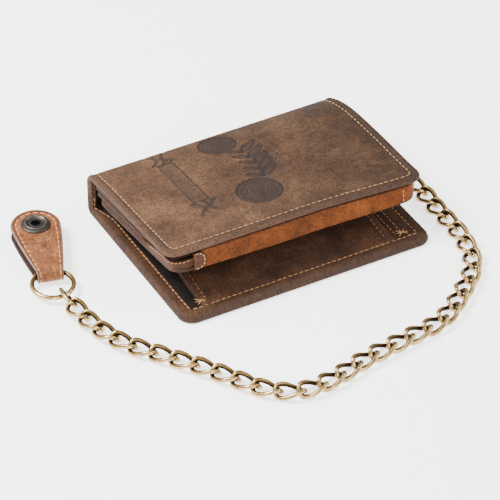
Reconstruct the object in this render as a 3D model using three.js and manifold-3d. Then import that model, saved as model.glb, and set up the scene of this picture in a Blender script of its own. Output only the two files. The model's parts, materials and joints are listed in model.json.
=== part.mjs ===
// A chain wallet: a portrait bi-fold in turned-edge leather with a coin box under its cover,
// a curb chain, and a leather belt fob that closes with a snap.
// Millimetres, +Z up. The origin is the middle of the back panel's underside, +X runs along the
// spine towards the chain's end of the wallet and +Y runs from the opening to the spine.

import * as THREE from 'three';
import { mergeVertices } from 'three/addons/utils/BufferGeometryUtils.js';
import Module from 'manifold-3d';

const wasm = await Module();
wasm.setup();

// Wallet shell
const walletLength = 125;
const backDepth = 95;
const coverDepth = 83.5;
const spineFoot = 0.6;
const shellThickness = 2.4;
const coverThickness = 2.2;
const cornerRadius = 7;
const coverTilt = THREE.MathUtils.degToRad(7);

// Clearances
const foldGap = 0.7;
const layerGap = 0.3;
const restGap = 0.1;

// How far a cutting tool stands out past what it cuts
const overshoot = 1;

// Bill compartment, between the back panel and the inner panel
const liningThickness = 0.3;
const liningInset = 1.5;
const innerThickness = 1.6;
const innerLeftInset = 11;
const innerRightInset = 17;
const innerSpineGap = 9.5;
const billHeight = 4.3;
const billRise = 30;
const billSeam = 6;

// Card pockets, between the cover and the coin box
const pocketThickness = 1;
const pocketDepth = 56;
const pocketInset = 2.5;
const pocketSpineGap = 6;

// Coin box
const trayHeight = 9.2;
const trayClearance = 0.6;
const trayFloor = 1.8;
const trayWall = 1.8;
const traySideInset = 1.2;
const trayFrontInset = 1.5;
const traySpineGap = 6.5;
const gussetDepth = 26;
const tongueWidth = 18;
const tongueDepth = 14;
const tongueThickness = 1;
const tongueDrop = 3.4;

// Coin box snap
const coinSnapRadius = 5;
const coinSocketHeight = 1.3;
const coinSocketRoof = 0.2;
const coinStudBase = 0.7;
const coinKnobRadius = 1.9;
const coinKnobHeight = 1.1;

// Chain tab and the ring that it holds
const tabWidth = 7;
const tabTail = 10;
const tabLeaf = 1.2;
const tabSpineInset = 11;
const tabOverhang = 0.8;
const chainRingRadius = 6;
const chainRingWire = 1;
const tabLoopGap = 0.5;

// Curb chain
const linkCount = 35;
const linkWire = 2.1;
const linkWidth = 9.5;
const linkSlack = 0.5;
const linkTwist = THREE.MathUtils.degToRad(-45);
const linkSides = 6;
const linkSteps = 12;
const untwistLinks = 3;
const connectorLength = 12.9;
const connectorWidth = 9;
const connectorWire = 2;
const connectorTwist = THREE.MathUtils.degToRad(7.5);
const connectorRoll = THREE.MathUtils.degToRad(52.5);
const connectorHeight = 3.8;
const ringNearDrop = 0.4;

// How much more blunt a link's ends are than half circles
const linkBluntness = 1.6;

// The line that the links' middles follow, from the wallet to the fob: x and y are measured from
// the chain ring's middle, z from the resting surface
const chainRoute = [
  [1.23, -9.5, 5.05],
  [5.73, -29, 3.25],
  [10.23, -49, 2.75],
  [9.43, -68.4, 2.75],
  [8.43, -88.5, 2.75],
  [2.23, -107.9, 2.75],
  [-13.87, -123.7, 2.75],
  [-29.37, -134.2, 2.75],
  [-50.07, -138.1, 2.75],
  [-70.37, -141.2, 2.75],
  [-90.67, -146.1, 2.75],
  [-104.67, -146.5, 2.75],
  [-115.67, -140.5, 2.75],
  [-123.57, -130.5, 2.75],
  [-133.37, -115.1, 2.75],
  [-144.57, -99.7, 2.75],
  [-156.67, -82.5, 2.75],
  [-162.87, -63.9, 2.75],
  [-164.17, -54.4, 3.1],
];

// Belt fob
const fobRingRadius = 9.15;
const fobRingWire = 1.1;
const fobLeaf = 1.4;
const fobGap = 4.1;
const fobLength = 46;
const fobWidth = 22.5;
const fobNeck = 11.5;
const fobFoldEnd = 6;
const fobLoopGap = 0.5;
const fobHeading = THREE.MathUtils.degToRad(75.5);
const connectorHeading = THREE.MathUtils.degToRad(92);
const ringHeading = THREE.MathUtils.degToRad(98);

// Fob snap
const snapCapRadius = 6.6;
const snapCapHeight = 1.2;
const snapRimRadius = 4.8;
const snapDomeInset = 0.5;
const snapDomeHeight = 0.85;
const snapDish = 0.3;
const snapEyeRadius = 1.95;
const snapBodyRadius = 4.8;
const snapPostRadius = 1.5;
const snapHoleClearance = 0.3;
const snapBaseHeight = 0.6;
const studBaseHeight = 1;
const studKnobRadius = 2;
const studKnobHeight = 1.2;
const socketHeight = 2;
const socketRoof = 0.4;

const halfLength = walletLength / 2;
const nearEdge = -backDepth / 2;
const spineLine = backDepth / 2;

function finish(colour, roughness, metalness = 0) {
  return new THREE.MeshStandardMaterial({ color: colour, roughness, metalness });
}

const shellLeather = () => finish('#6f4e3b', 0.7);
const innerLeather = () => finish('#54382a', 0.7);
const coinLeather = () => finish('#a5613f', 0.6);
const blackFabric = () => finish('#241f1f', 0.95);
const fobLeather = () => finish('#a86e50', 0.65);
const antiqueBrass = () => finish('#a88a5a', 0.35, 1);
const gunmetal = () => finish('#6e655c', 0.4, 1);

function piece(name, geometry, material) {
  const mesh = new THREE.Mesh(geometry, material);
  mesh.name = name;
  return mesh;
}

// Booleans

function toSolid(geometry) {
  const bare = geometry.clone();
  bare.deleteAttribute('normal');
  bare.deleteAttribute('uv');
  const merged = mergeVertices(bare, 1e-4);
  const mesh = new wasm.Mesh({
    numProp: 3,
    vertProperties: new Float32Array(merged.attributes.position.array),
    triVerts: new Uint32Array(merged.index.array),
  });
  return new wasm.Manifold(mesh);
}

function toGeometry(solid) {
  const mesh = solid.getMesh();
  const geometry = new THREE.BufferGeometry();
  geometry.setAttribute('position', new THREE.BufferAttribute(mesh.vertProperties, 3));
  geometry.setIndex(new THREE.BufferAttribute(mesh.triVerts, 1));
  geometry.computeVertexNormals();
  return geometry;
}

function joined(...geometries) {
  return toGeometry(geometries.map(toSolid).reduce((whole, next) => whole.add(next)));
}

function cut(geometry, ...tools) {
  return toGeometry(tools.map(toSolid).reduce((left, tool) => left.subtract(tool), toSolid(geometry)));
}

// Basic shapes

function block(x0, x1, y0, y1, z0, z1) {
  const box = new THREE.BoxGeometry(x1 - x0, y1 - y0, z1 - z0);
  return box.translate((x0 + x1) / 2, (y0 + y1) / 2, (z0 + z1) / 2);
}

// A flat sheet whose two corners on the opening side are rounded.
function sheet(x0, x1, y0, y1, z0, z1, radius) {
  const outline = new THREE.Shape();
  outline.moveTo(x1, y1);
  outline.lineTo(x0, y1);
  outline.lineTo(x0, y0 + radius);
  outline.absarc(x0 + radius, y0 + radius, radius, Math.PI, Math.PI * 1.5, false);
  outline.absarc(x1 - radius, y0 + radius, radius, Math.PI * 1.5, Math.PI * 2, false);
  outline.closePath();
  const solid = new THREE.ExtrudeGeometry(outline, {
    depth: z1 - z0,
    bevelEnabled: false,
    curveSegments: 6,
  });
  return solid.translate(0, 0, z0);
}

// A profile of [y, z] points swept from x0 to x1.
function sweptAlongX(points, x0, x1) {
  const outline = new THREE.Shape(points.map(([y, z]) => new THREE.Vector2(y, z)));
  const solid = new THREE.ExtrudeGeometry(outline, { depth: x1 - x0, bevelEnabled: false });
  const turn = new THREE.Matrix4().makeBasis(
    new THREE.Vector3(0, 1, 0),
    new THREE.Vector3(0, 0, 1),
    new THREE.Vector3(1, 0, 0),
  );
  return solid.applyMatrix4(turn).translate(x0, 0, 0);
}

// A profile of [radius, z] points turned about Z.
function turned(points, segments = 20) {
  const profile = points.map(([r, z]) => new THREE.Vector2(r, z));
  return new THREE.LatheGeometry(profile, segments).rotateX(Math.PI / 2);
}

function drill(radius, z0, z1, x = 0, y = 0) {
  const solid = new THREE.CylinderGeometry(radius, radius, z1 - z0, 16);
  return solid.rotateX(Math.PI / 2).translate(x, y, (z0 + z1) / 2);
}

// Shell and bill compartment

const liningBottom = shellThickness + restGap;
const liningTop = liningBottom + liningThickness;
const trayUnderside = liningTop + billHeight + innerThickness + trayClearance;
const spineHeight = trayUnderside + trayHeight + layerGap + coverThickness;

function makeBackPanel() {
  const spineSide = spineLine - shellThickness - foldGap;
  return piece(
    'back_panel',
    sheet(-halfLength, halfLength, nearEdge, spineSide, 0, shellThickness, cornerRadius),
    shellLeather(),
  );
}

function makeBillLining() {
  const spineSide = spineLine - shellThickness - foldGap - liningInset;
  return piece(
    'bill_lining',
    sheet(
      -halfLength + liningInset,
      halfLength - liningInset,
      nearEdge + liningInset,
      spineSide,
      liningBottom,
      liningTop,
      cornerRadius,
    ),
    blackFabric(),
  );
}

function makeInnerPanel() {
  const seamStart = nearEdge + liningInset;
  const seamEnd = seamStart + billSeam;
  const riseEnd = seamEnd + billRise;
  const spineSide = spineLine - innerSpineGap;
  const low = liningTop + restGap;
  const high = liningTop + billHeight;
  return piece(
    'inner_panel',
    sweptAlongX(
      [
        [seamStart, low],
        [seamEnd, low],
        [riseEnd, high],
        [spineSide, high],
        [spineSide, high + innerThickness],
        [riseEnd, high + innerThickness],
        [seamEnd, low + innerThickness],
        [seamStart, low + innerThickness],
      ],
      -halfLength + innerLeftInset,
      halfLength - innerRightInset,
    ),
    innerLeather(),
  );
}

function makeSpine() {
  const top = spineHeight - coverThickness - layerGap;
  return piece(
    'spine_panel',
    block(-halfLength, halfLength, spineLine - shellThickness, spineLine, spineFoot, top),
    shellLeather(),
  );
}

// Cover and what hangs under it. Inside this group y = 0 is the cover's fold line, y runs back from
// the opening, and z = 0 is the cover's outer face.

const underCover = -coverThickness - layerGap;
const pocketTop = underCover - liningThickness - layerGap;
const trayTop = underCover;
const trayBottom = trayTop - trayHeight;
const trayFront = -coverDepth + trayFrontInset;
const tongueTop = trayTop - tongueDrop;
const coinSnapY = trayFront + trayWall + tongueDepth / 2;

function makeFrontCover() {
  return piece(
    'front_cover',
    sheet(-halfLength, halfLength, -coverDepth, 0, -coverThickness, 0, cornerRadius),
    shellLeather(),
  );
}

function makeCoverLining() {
  const side = halfLength - traySideInset - trayWall - layerGap;
  return piece(
    'cover_lining',
    sheet(
      -side,
      side,
      trayFront + trayWall + layerGap,
      -pocketSpineGap,
      underCover - liningThickness,
      underCover,
      cornerRadius - trayWall,
    ),
    blackFabric(),
  );
}

function makePocket(name, level) {
  const top = pocketTop - level * (pocketThickness + layerGap);
  return piece(
    name,
    block(
      -halfLength + pocketInset + trayWall,
      halfLength - pocketInset - trayWall,
      -pocketSpineGap - pocketDepth,
      -pocketSpineGap,
      top - pocketThickness,
      top,
    ),
    innerLeather(),
  );
}

// A quarter of a tube, which carries the tray's wall round one of its front corners.
function roundCorner(x, hand) {
  const start = hand > 0 ? Math.PI * 1.5 : Math.PI;
  const end = start + Math.PI / 2;
  const outline = new THREE.Shape();
  const y = trayFront + cornerRadius;
  outline.absarc(x, y, cornerRadius, start, end, false);
  outline.absarc(x, y, cornerRadius - trayWall, end, start, true);
  outline.closePath();
  const solid = new THREE.ExtrudeGeometry(outline, {
    depth: trayHeight,
    bevelEnabled: false,
    curveSegments: 5,
  });
  return solid.translate(0, 0, trayBottom);
}

function makeCoinTray() {
  const side = halfLength - traySideInset;
  const floorTop = trayBottom + trayFloor;
  const floor = sheet(-side, side, trayFront, -traySpineGap, trayBottom, floorTop, cornerRadius);
  const wall = block(
    -side + cornerRadius,
    side - cornerRadius,
    trayFront,
    trayFront + trayWall,
    trayBottom,
    trayTop,
  );
  const gussetProfile = [
    [trayFront + cornerRadius, trayBottom],
    [trayFront + gussetDepth, trayBottom],
    [trayFront + gussetDepth, floorTop],
    [trayFront + cornerRadius, trayTop],
  ];
  const leftGusset = sweptAlongX(gussetProfile, -side, -side + trayWall);
  const rightGusset = sweptAlongX(gussetProfile, side - trayWall, side);
  const corners = [-1, 1].map((hand) => roundCorner(hand * (side - cornerRadius), hand));
  const tongue = block(
    -tongueWidth / 2,
    tongueWidth / 2,
    trayFront + trayWall / 2,
    trayFront + trayWall + tongueDepth,
    tongueTop - tongueThickness,
    tongueTop,
  );
  return piece(
    'coin_tray',
    joined(floor, wall, leftGusset, rightGusset, ...corners, tongue),
    coinLeather(),
  );
}

function makeCoinSocket() {
  const top = pocketTop;
  const bottom = top - coinSocketHeight;
  const hole = coinKnobRadius + snapHoleClearance;
  const ring = turned([
    [0, top],
    [0, top - coinSocketRoof],
    [hole, top - coinSocketRoof],
    [hole, bottom],
    [coinSnapRadius, bottom],
    [coinSnapRadius, top],
    [0, top],
  ]);
  return piece('coin_snap_socket', ring.translate(0, coinSnapY, 0), gunmetal());
}

function makeCoinStud() {
  const bottom = tongueTop + restGap;
  const shoulder = bottom + coinStudBase;
  const stud = turned([
    [0, bottom],
    [coinSnapRadius, bottom],
    [coinSnapRadius, shoulder],
    [coinKnobRadius, shoulder],
    [coinKnobRadius, shoulder + coinKnobHeight],
    [0, shoulder + coinKnobHeight],
  ]);
  return piece('coin_snap_stud', stud.translate(0, coinSnapY, 0), gunmetal());
}

// How far a circle falls back from its tangent over a strap of this width.
function bow(radius, width) {
  return radius - Math.sqrt(radius ** 2 - (width / 2) ** 2);
}

// Chain tab: a leather strap folded round the chain ring, its tail lying on the lining.

const tabY = spineLine - tabSpineInset;
const tabSlot = 2 * chainRingWire + 2 * tabLoopGap;
const tabFloor = liningTop + restGap;
const tabTop = tabFloor + 2 * tabLeaf + tabSlot;
const tabEnd = halfLength + tabOverhang;
const tabSlotLength = tabSlot + bow(chainRingRadius - chainRingWire, tabWidth);

function makeChainTab() {
  const tailEnd = tabEnd - tabSlotLength - tabTail;
  const loopStart = tabEnd - tabSlotLength - 2 * tabLeaf;
  const y0 = tabY - tabWidth / 2;
  const y1 = tabY + tabWidth / 2;
  const loop = block(loopStart, tabEnd, y0, y1, tabFloor, tabTop);
  const tail = block(tailEnd, loopStart + tabLeaf / 2, y0, y1, tabFloor, tabFloor + 2 * tabLeaf);
  const slot = block(
    loopStart + tabLeaf,
    tabEnd - tabLeaf,
    y0 - overshoot,
    y1 + overshoot,
    tabFloor + tabLeaf,
    tabTop - tabLeaf,
  );
  return piece('chain_tab', cut(joined(loop, tail), slot), shellLeather());
}

const chainRingX = tabEnd - tabLeaf - tabSlotLength + tabLoopGap + chainRingWire + chainRingRadius;
const chainRingZ = tabFloor + tabLeaf + tabSlot / 2;

function makeChainRing() {
  const ring = new THREE.TorusGeometry(chainRingRadius, chainRingWire, 8, 24);
  const mesh = piece('chain_ring', ring, antiqueBrass());
  mesh.position.set(chainRingX, tabY, chainRingZ);
  return mesh;
}

// Links. A closed ring of wire is drawn out into an oval and twisted, so that each end of a link
// stands square to the end of the next link.

function linkGeometry(length, width, wire, twist) {
  const halfSpan = (length - wire) / 2;
  const halfWidth = (width - wire) / 2;
  const straight = halfSpan - halfWidth;
  const ring = new THREE.TorusGeometry(halfWidth, wire / 2, linkSides, linkSteps);
  const spot = ring.attributes.position;
  const point = new THREE.Vector3();
  const alongChain = new THREE.Vector3(1, 0, 0);
  for (let i = 0; i < spot.count; i += 1) {
    point.fromBufferAttribute(spot, i);
    const reach = Math.hypot(point.x, point.y);
    point.x += straight * THREE.MathUtils.clamp((linkBluntness * point.x) / reach, -1, 1);
    const turn = THREE.MathUtils.clamp(point.x / halfSpan, -1, 1) * twist;
    point.applyAxisAngle(alongChain, turn);
    spot.setXYZ(i, point.x, point.y, point.z);
  }
  ring.deleteAttribute('normal');
  ring.deleteAttribute('uv');
  const link = mergeVertices(ring, 1e-4);
  link.computeVertexNormals();
  return link;
}

const routePoints = chainRoute.map(([x, y, z]) => new THREE.Vector3(chainRingX + x, tabY + y, z));
const route = new THREE.CatmullRomCurve3(routePoints, false, 'centripetal');
const linkPitch = route.getLength() / (linkCount - 1);
const linkLength = linkPitch + 2 * linkWire + linkSlack;

function placeAlong(mesh, middle, direction, roll = 0) {
  const flat = new THREE.Vector3(direction.x, direction.y, 0).normalize();
  const side = new THREE.Vector3(-flat.y, flat.x, 0);
  const along = direction.clone().normalize();
  const up = new THREE.Vector3().crossVectors(along, side);
  mesh.position.copy(middle);
  mesh.quaternion.setFromRotationMatrix(new THREE.Matrix4().makeBasis(along, side, up));
  mesh.rotateX(roll);
}

function makeChain() {
  const middles = Array.from({ length: linkCount }, (_, i) => route.getPointAt(i / (linkCount - 1)));
  return middles.map((middle, i) => {
    const before = middles[Math.max(i - 1, 0)];
    const after = middles[Math.min(i + 1, linkCount - 1)];
    const name = `link_${String(i + 1).padStart(2, '0')}`;
    const geometry = linkGeometry(linkLength, linkWidth, linkWire, linkTwist);
    const mesh = piece(name, geometry, antiqueBrass());
    const roll = -linkTwist * Math.max(0, 1 - i / untwistLinks);
    placeAlong(mesh, middle, after.clone().sub(before), roll);
    return mesh;
  });
}

function headed(angle) {
  return new THREE.Vector3(Math.cos(angle), Math.sin(angle), 0);
}

const chainEnd = route.getPointAt(1);
const lap = linkWire + linkSlack;
const connectorReach = (linkLength + connectorLength - linkWire - connectorWire) / 2 - lap;
const connectorMiddle = chainEnd
  .clone()
  .addScaledVector(headed(connectorHeading), connectorReach)
  .setZ(connectorHeight);

function makeConnector() {
  const geometry = linkGeometry(connectorLength, connectorWidth, connectorWire, connectorTwist);
  const mesh = piece('fob_connector', geometry, antiqueBrass());
  placeAlong(mesh, connectorMiddle, headed(connectorHeading), connectorRoll);
  return mesh;
}

// Fob. Inside its group x runs from the fold to the round end and z = 0 is the resting surface.

const fobFloor = snapBaseHeight + restGap;
const fobLowerTop = fobFloor + fobLeaf;
const fobUpperBottom = fobLowerTop + fobGap;
const fobTop = fobUpperBottom + fobLeaf;
const fobRingZ = (fobLowerTop + fobUpperBottom) / 2;
const ringNearZ = connectorHeight - ringNearDrop;
const ringTilt = Math.asin((fobRingZ - ringNearZ) / (2 * fobRingRadius));
const ringReach = fobRingRadius * Math.cos(ringTilt);
const ringLap = connectorWire / 2 + fobRingWire + linkSlack;
const ringMiddle = connectorMiddle
  .clone()
  .addScaledVector(headed(ringHeading), (connectorLength - connectorWire) / 2 - ringLap + ringReach)
  .setZ((fobRingZ + ringNearZ) / 2);
const ringHole = fobRingRadius - fobRingWire;
const fobReach = ringReach - bow(ringHole, fobNeck) - fobRingWire - fobLeaf - fobLoopGap;
const fobOrigin = ringMiddle.clone().addScaledVector(headed(fobHeading), fobReach).setZ(0);
const snapX = fobLength - fobWidth / 2;

function makeFobRing() {
  const ring = new THREE.TorusGeometry(fobRingRadius, fobRingWire, 8, 32);
  const mesh = piece('fob_ring', ring.rotateY(-ringTilt), antiqueBrass());
  mesh.position.copy(ringMiddle);
  mesh.rotation.z = fobHeading;
  return mesh;
}

// The teardrop of one leaf, from x = start to the round end.
function leafOutline(start) {
  const radius = fobWidth / 2;
  const rise = Math.atan2(radius - fobNeck / 2, snapX);
  const neck = fobNeck / 2 + start * Math.tan(rise);
  const outline = new THREE.Shape();
  outline.moveTo(start, -neck);
  outline.absarc(snapX, 0, radius, -Math.PI / 2 - rise, Math.PI / 2 + rise, false);
  outline.lineTo(start, neck);
  outline.closePath();
  return outline;
}

function leaf(start, z0, z1) {
  const solid = new THREE.ExtrudeGeometry(leafOutline(start), {
    depth: z1 - z0,
    bevelEnabled: false,
    curveSegments: 20,
  });
  const hole = drill(snapPostRadius + snapHoleClearance, z0 - overshoot, z1 + overshoot, snapX);
  return cut(solid.translate(0, 0, z0), hole);
}

// The strap from the side: the lower leaf, then the half tube of the fold round the fob ring.
function strapProfile() {
  const outer = (fobTop - fobFloor) / 2;
  const inner = outer - fobLeaf;
  const middleZ = (fobTop + fobFloor) / 2;
  const outline = new THREE.Shape();
  outline.moveTo(fobLength + overshoot, fobFloor);
  outline.lineTo(fobLength + overshoot, fobLowerTop);
  outline.lineTo(outer, fobLowerTop);
  outline.absarc(outer, middleZ, inner, Math.PI * 1.5, Math.PI / 2, true);
  outline.lineTo(fobFoldEnd, fobUpperBottom);
  outline.lineTo(fobFoldEnd, fobTop);
  outline.absarc(outer, middleZ, outer, Math.PI / 2, Math.PI * 1.5, false);
  outline.closePath();
  return outline;
}

function makeFobStrap() {
  const profile = new THREE.ExtrudeGeometry(strapProfile(), {
    depth: fobWidth + 2 * overshoot,
    bevelEnabled: false,
    curveSegments: 10,
  });
  const side = toSolid(profile.rotateX(Math.PI / 2).translate(0, fobWidth / 2 + overshoot, 0));
  const plan = toSolid(leaf(-overshoot, fobFloor - overshoot, fobTop + overshoot));
  return piece('fob_strap', toGeometry(side.intersect(plan)), fobLeather());
}

function makeFobFlap() {
  const start = fobFoldEnd + layerGap;
  return piece('fob_flap', leaf(start, fobUpperBottom, fobTop), fobLeather());
}

function makeSnapCap() {
  const seat = fobTop + restGap;
  const rim = seat + snapCapHeight;
  const eye = seat + snapCapHeight / 2;
  const cap = turned([
    [0, fobUpperBottom + restGap],
    [snapPostRadius, fobUpperBottom + restGap],
    [snapPostRadius, seat],
    [snapCapRadius, seat],
    [snapCapRadius - snapDomeInset, seat + snapDomeHeight],
    [snapRimRadius, rim],
    [snapEyeRadius + 2 * snapDish, rim - snapDish],
    [snapEyeRadius, eye],
    [0, eye],
  ]);
  return piece('fob_snap_cap', cap.translate(snapX, 0, 0), gunmetal());
}

function makeSnapSocket() {
  const top = fobUpperBottom - restGap;
  const bottom = top - socketHeight;
  const hole = studKnobRadius + snapHoleClearance;
  const socket = turned([
    [0, top],
    [0, top - socketRoof],
    [hole, top - socketRoof],
    [hole, bottom],
    [snapBodyRadius, bottom],
    [snapBodyRadius, top],
    [0, top],
  ]);
  return piece('fob_snap_socket', socket.translate(snapX, 0, 0), gunmetal());
}

function makeSnapStud() {
  const bottom = fobLowerTop + restGap;
  const shoulder = bottom + studBaseHeight;
  const stud = turned([
    [0, bottom],
    [snapBodyRadius, bottom],
    [snapBodyRadius, shoulder],
    [studKnobRadius, shoulder],
    [studKnobRadius, shoulder + studKnobHeight],
    [0, shoulder + studKnobHeight],
  ]);
  return piece('fob_snap_stud', stud.translate(snapX, 0, 0), gunmetal());
}

function makeSnapBase() {
  const base = turned([
    [0, 0],
    [snapBodyRadius, 0],
    [snapBodyRadius, snapBaseHeight],
    [snapPostRadius, snapBaseHeight],
    [snapPostRadius, fobLowerTop],
    [0, fobLowerTop],
  ]);
  return piece('fob_snap_base', base.translate(snapX, 0, 0), gunmetal());
}

// Assembly

const coverGroup = new THREE.Group();
coverGroup.position.set(0, spineLine, spineHeight);
coverGroup.rotation.x = -coverTilt;
coverGroup.add(
  makeFrontCover(),
  makeCoverLining(),
  makePocket('card_pocket_upper', 0),
  makePocket('card_pocket_lower', 1),
  makeCoinTray(),
  makeCoinSocket(),
  makeCoinStud(),
);

const fobGroup = new THREE.Group();
fobGroup.position.copy(fobOrigin);
fobGroup.rotation.z = fobHeading;
fobGroup.add(
  makeFobStrap(),
  makeFobFlap(),
  makeSnapCap(),
  makeSnapSocket(),
  makeSnapStud(),
  makeSnapBase(),
);

const wallet = new THREE.Group();
wallet.add(
  makeBackPanel(),
  makeBillLining(),
  makeInnerPanel(),
  makeSpine(),
  coverGroup,
  makeChainTab(),
  makeChainRing(),
  ...makeChain(),
  makeConnector(),
  makeFobRing(),
  fobGroup,
);

export default wallet;
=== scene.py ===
# Chain wallet: a leather shell with a coin box and card pockets, a curb chain and a belt fob,
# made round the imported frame. Panels are shaped in millimetres and turned to metres at the end.
import json
import math
import random
import bpy
import bmesh
from mathutils import Matrix, Vector


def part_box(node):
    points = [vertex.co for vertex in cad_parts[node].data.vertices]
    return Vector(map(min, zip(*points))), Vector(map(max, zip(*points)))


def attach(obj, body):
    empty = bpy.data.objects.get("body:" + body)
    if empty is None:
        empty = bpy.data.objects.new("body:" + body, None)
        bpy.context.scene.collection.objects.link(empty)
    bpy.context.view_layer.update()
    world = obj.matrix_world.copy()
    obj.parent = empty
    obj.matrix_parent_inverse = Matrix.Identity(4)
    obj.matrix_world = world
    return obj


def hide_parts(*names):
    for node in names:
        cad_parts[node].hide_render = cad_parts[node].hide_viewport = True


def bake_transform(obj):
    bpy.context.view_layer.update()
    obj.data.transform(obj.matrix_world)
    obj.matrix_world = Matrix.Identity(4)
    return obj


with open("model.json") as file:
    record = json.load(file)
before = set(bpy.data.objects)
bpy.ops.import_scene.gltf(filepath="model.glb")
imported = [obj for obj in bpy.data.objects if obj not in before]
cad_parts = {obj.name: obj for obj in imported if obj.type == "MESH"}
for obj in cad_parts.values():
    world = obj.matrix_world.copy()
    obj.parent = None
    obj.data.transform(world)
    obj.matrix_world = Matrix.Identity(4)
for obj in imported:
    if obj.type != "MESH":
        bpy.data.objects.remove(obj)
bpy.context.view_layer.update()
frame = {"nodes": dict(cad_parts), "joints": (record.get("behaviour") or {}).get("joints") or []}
mm = 0.001
links = [f"link_{i:02d}" for i in range(1, 36)]
joints = {joint["name"]: joint for joint in frame["joints"]}


def boxOf(node):
    low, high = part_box(node)
    return low / mm, high / mm


# Camera, light and floor

view = {"target": (-11.8, -12.7, 0), "distance": 1373, "azimuth": -28.7, "elevation": 37.9,
        "lens": 222.9, "floor": "#FBFAF9", "glow": 1.9, "world": 0.7}


def makeView():
    azimuth, elevation = math.radians(view["azimuth"]), math.radians(view["elevation"])
    back = Vector((math.sin(azimuth) * math.cos(elevation),
                   -math.cos(azimuth) * math.cos(elevation), math.sin(elevation)))
    camera = bpy.data.objects.new("camera", bpy.data.cameras.new("camera"))
    camera.data.lens = view["lens"]
    camera.data.sensor_width = 36
    camera.data.clip_start = 0.05
    camera.location = (Vector(view["target"]) + back * view["distance"]) * mm
    camera.rotation_euler = (-back).to_track_quat("-Z", "Y").to_euler()
    bpy.context.scene.collection.objects.link(camera)
    bpy.context.scene.camera = camera


lamps = [  # name, place in m, size in m, watts
    ("keyLight", (-0.6, 0.3, 0.9), 0.5, 32),
    ("fillLight", (0.7, -0.4, 0.8), 0.7, 8),
    ("frontLight", (-0.35, -0.9, 0.6), 0.6, 8),
]


def makeLights():
    for name, place, size, watts in lamps:
        lamp = bpy.data.lights.new(name, "AREA")
        lamp.size = size
        lamp.energy = watts
        holder = bpy.data.objects.new(name, lamp)
        holder.location = place
        holder.rotation_euler = (-Vector(place)).to_track_quat("-Z", "Y").to_euler()
        bpy.context.scene.collection.objects.link(holder)
    world = bpy.data.worlds.new("studio")
    world.use_nodes = True
    world.node_tree.nodes["Background"].inputs["Color"].default_value = (1, 1, 1, 1)
    world.node_tree.nodes["Background"].inputs["Strength"].default_value = view["world"]
    bpy.context.scene.world = world


# Materials

def sRgb(hexColour):
    parts = [int(hexColour[i:i + 2], 16) / 255 for i in (1, 3, 5)]
    return tuple(c / 12.92 if c <= 0.04045 else ((c + 0.055) / 1.055) ** 2.4 for c in parts) + (1,)


def addNode(tree, kind, values=None, inputs=None, stops=None, **settings):
    node = tree.nodes.new("ShaderNode" + kind)
    for key, value in settings.items():
        setattr(node, key, value)
    for key, value in (values or {}).items():
        node.inputs[key].default_value = value
    for key, source in (inputs or {}).items():
        tree.links.new(source, node.inputs[key])
    if stops:
        node.color_ramp.elements[0].position = stops[0][0]
        node.color_ramp.elements[-1].position = stops[-1][0]
        for at, colour in stops[1:-1]:
            node.color_ramp.elements.new(at)
        for element, (at, colour) in zip(node.color_ramp.elements, stops):
            element.color = colour
    return node


def grey(value):
    return (value, value, value, 1)


# The share and both colours may each be a value or a socket
def mixColours(tree, kind, share, first, second):
    values, inputs = {}, {}
    for slot, source in ((0, share), (6, first), (7, second)):
        (inputs if isinstance(source, bpy.types.NodeSocket) else values)[slot] = source
    return addNode(tree, "Mix", values, inputs, data_type="RGBA", blend_type=kind).outputs[2]


def noise(tree, place, scale, detail=2, roughness=0.5):
    return addNode(tree, "TexNoise", {"Scale": scale, "Detail": detail, "Roughness": roughness},
                   {"Vector": place}).outputs["Fac"]


def ramp(tree, share, *stops):
    return addNode(tree, "ValToRGB", inputs={"Fac": share}, stops=stops).outputs["Color"]


def fromMesh(tree, name, output="Fac"):
    return addNode(tree, "Attribute", attribute_name=name).outputs[output]


def bumpUp(tree, shader, height, strength, depth):
    bump = addNode(tree, "Bump", {"Strength": strength, "Distance": depth * mm}, {"Height": height})
    tree.links.new(bump.outputs["Normal"], shader.inputs["Normal"])


def startMaterial(name):
    material = bpy.data.materials.new(name)
    material.use_nodes = True
    tree = material.node_tree
    return material, tree, tree.nodes["Principled BSDF"]


# Colours, roughness, the size of the clouds in mm, and how much darker the +X end is painted than
# the -X end, as painted shade away from the key light. Scuffs are dry and light, and a pressed mark
# is burnished dark; the same dark in a seam's crease, along the emblem's outlines and in the fob's belt gap
# is painted shade.
leathers = {
    "shell": {"name": "cowhideOiledPullUp", "dark": "#422E1F", "base": "#513827", "light": "#624731",
              "edge": "#443024", "cut": "#523A2B", "press": "#211C1A", "scuff": "#785D46", "rough": 0.74,
              "mottle": 21, "paintedShade": 0.5},
    # The back's colours are the shell leather's painted darker, as painted shade under the cover and on its
    # near band
    "back": {"name": "cowhideOiledShaded", "dark": "#301D12", "base": "#402818", "light": "#52351F",
             "edge": "#3A2517", "cut": "#382418", "press": "#2A1F1C", "scuff": "#5F4029", "rough": 0.68,
             "mottle": 15, "paintedShade": 0.25},
    "inner": {"name": "cowhideWaxedBrown", "dark": "#342218", "base": "#432C1E", "light": "#553827",
              "edge": "#4A3122", "cut": "#3A271C", "press": "#2A1F1C", "scuff": "#684831", "rough": 0.7,
              "mottle": 16, "paintedShade": 0},
    "coin": {"name": "cowhideWaxedOrange", "dark": "#4E260B", "base": "#63310F", "light": "#723B16",
             "edge": "#60351A", "cut": "#502E19", "press": "#2A1F1C", "scuff": "#533C2A", "rough": 0.66,
             "mottle": 18, "paintedShade": 0.12, "gloss": 0.1},
    "pocket": {"name": "cowhideWaxedRusset", "dark": "#351E12", "base": "#462817", "light": "#583520",
               "edge": "#432819", "cut": "#372317", "press": "#2A1F1C", "scuff": "#6E4931", "rough": 0.7,
               "mottle": 12, "paintedShade": 0},
    "fob": {"name": "cowhideWaxedTan", "dark": "#5F361E", "base": "#754628", "light": "#895937",
            "edge": "#6D432A", "cut": "#7C6862", "press": "#221714", "scuff": "#9F7355", "rough": 0.66,
            "mottle": 9, "paintedShade": 0},
}
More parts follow.
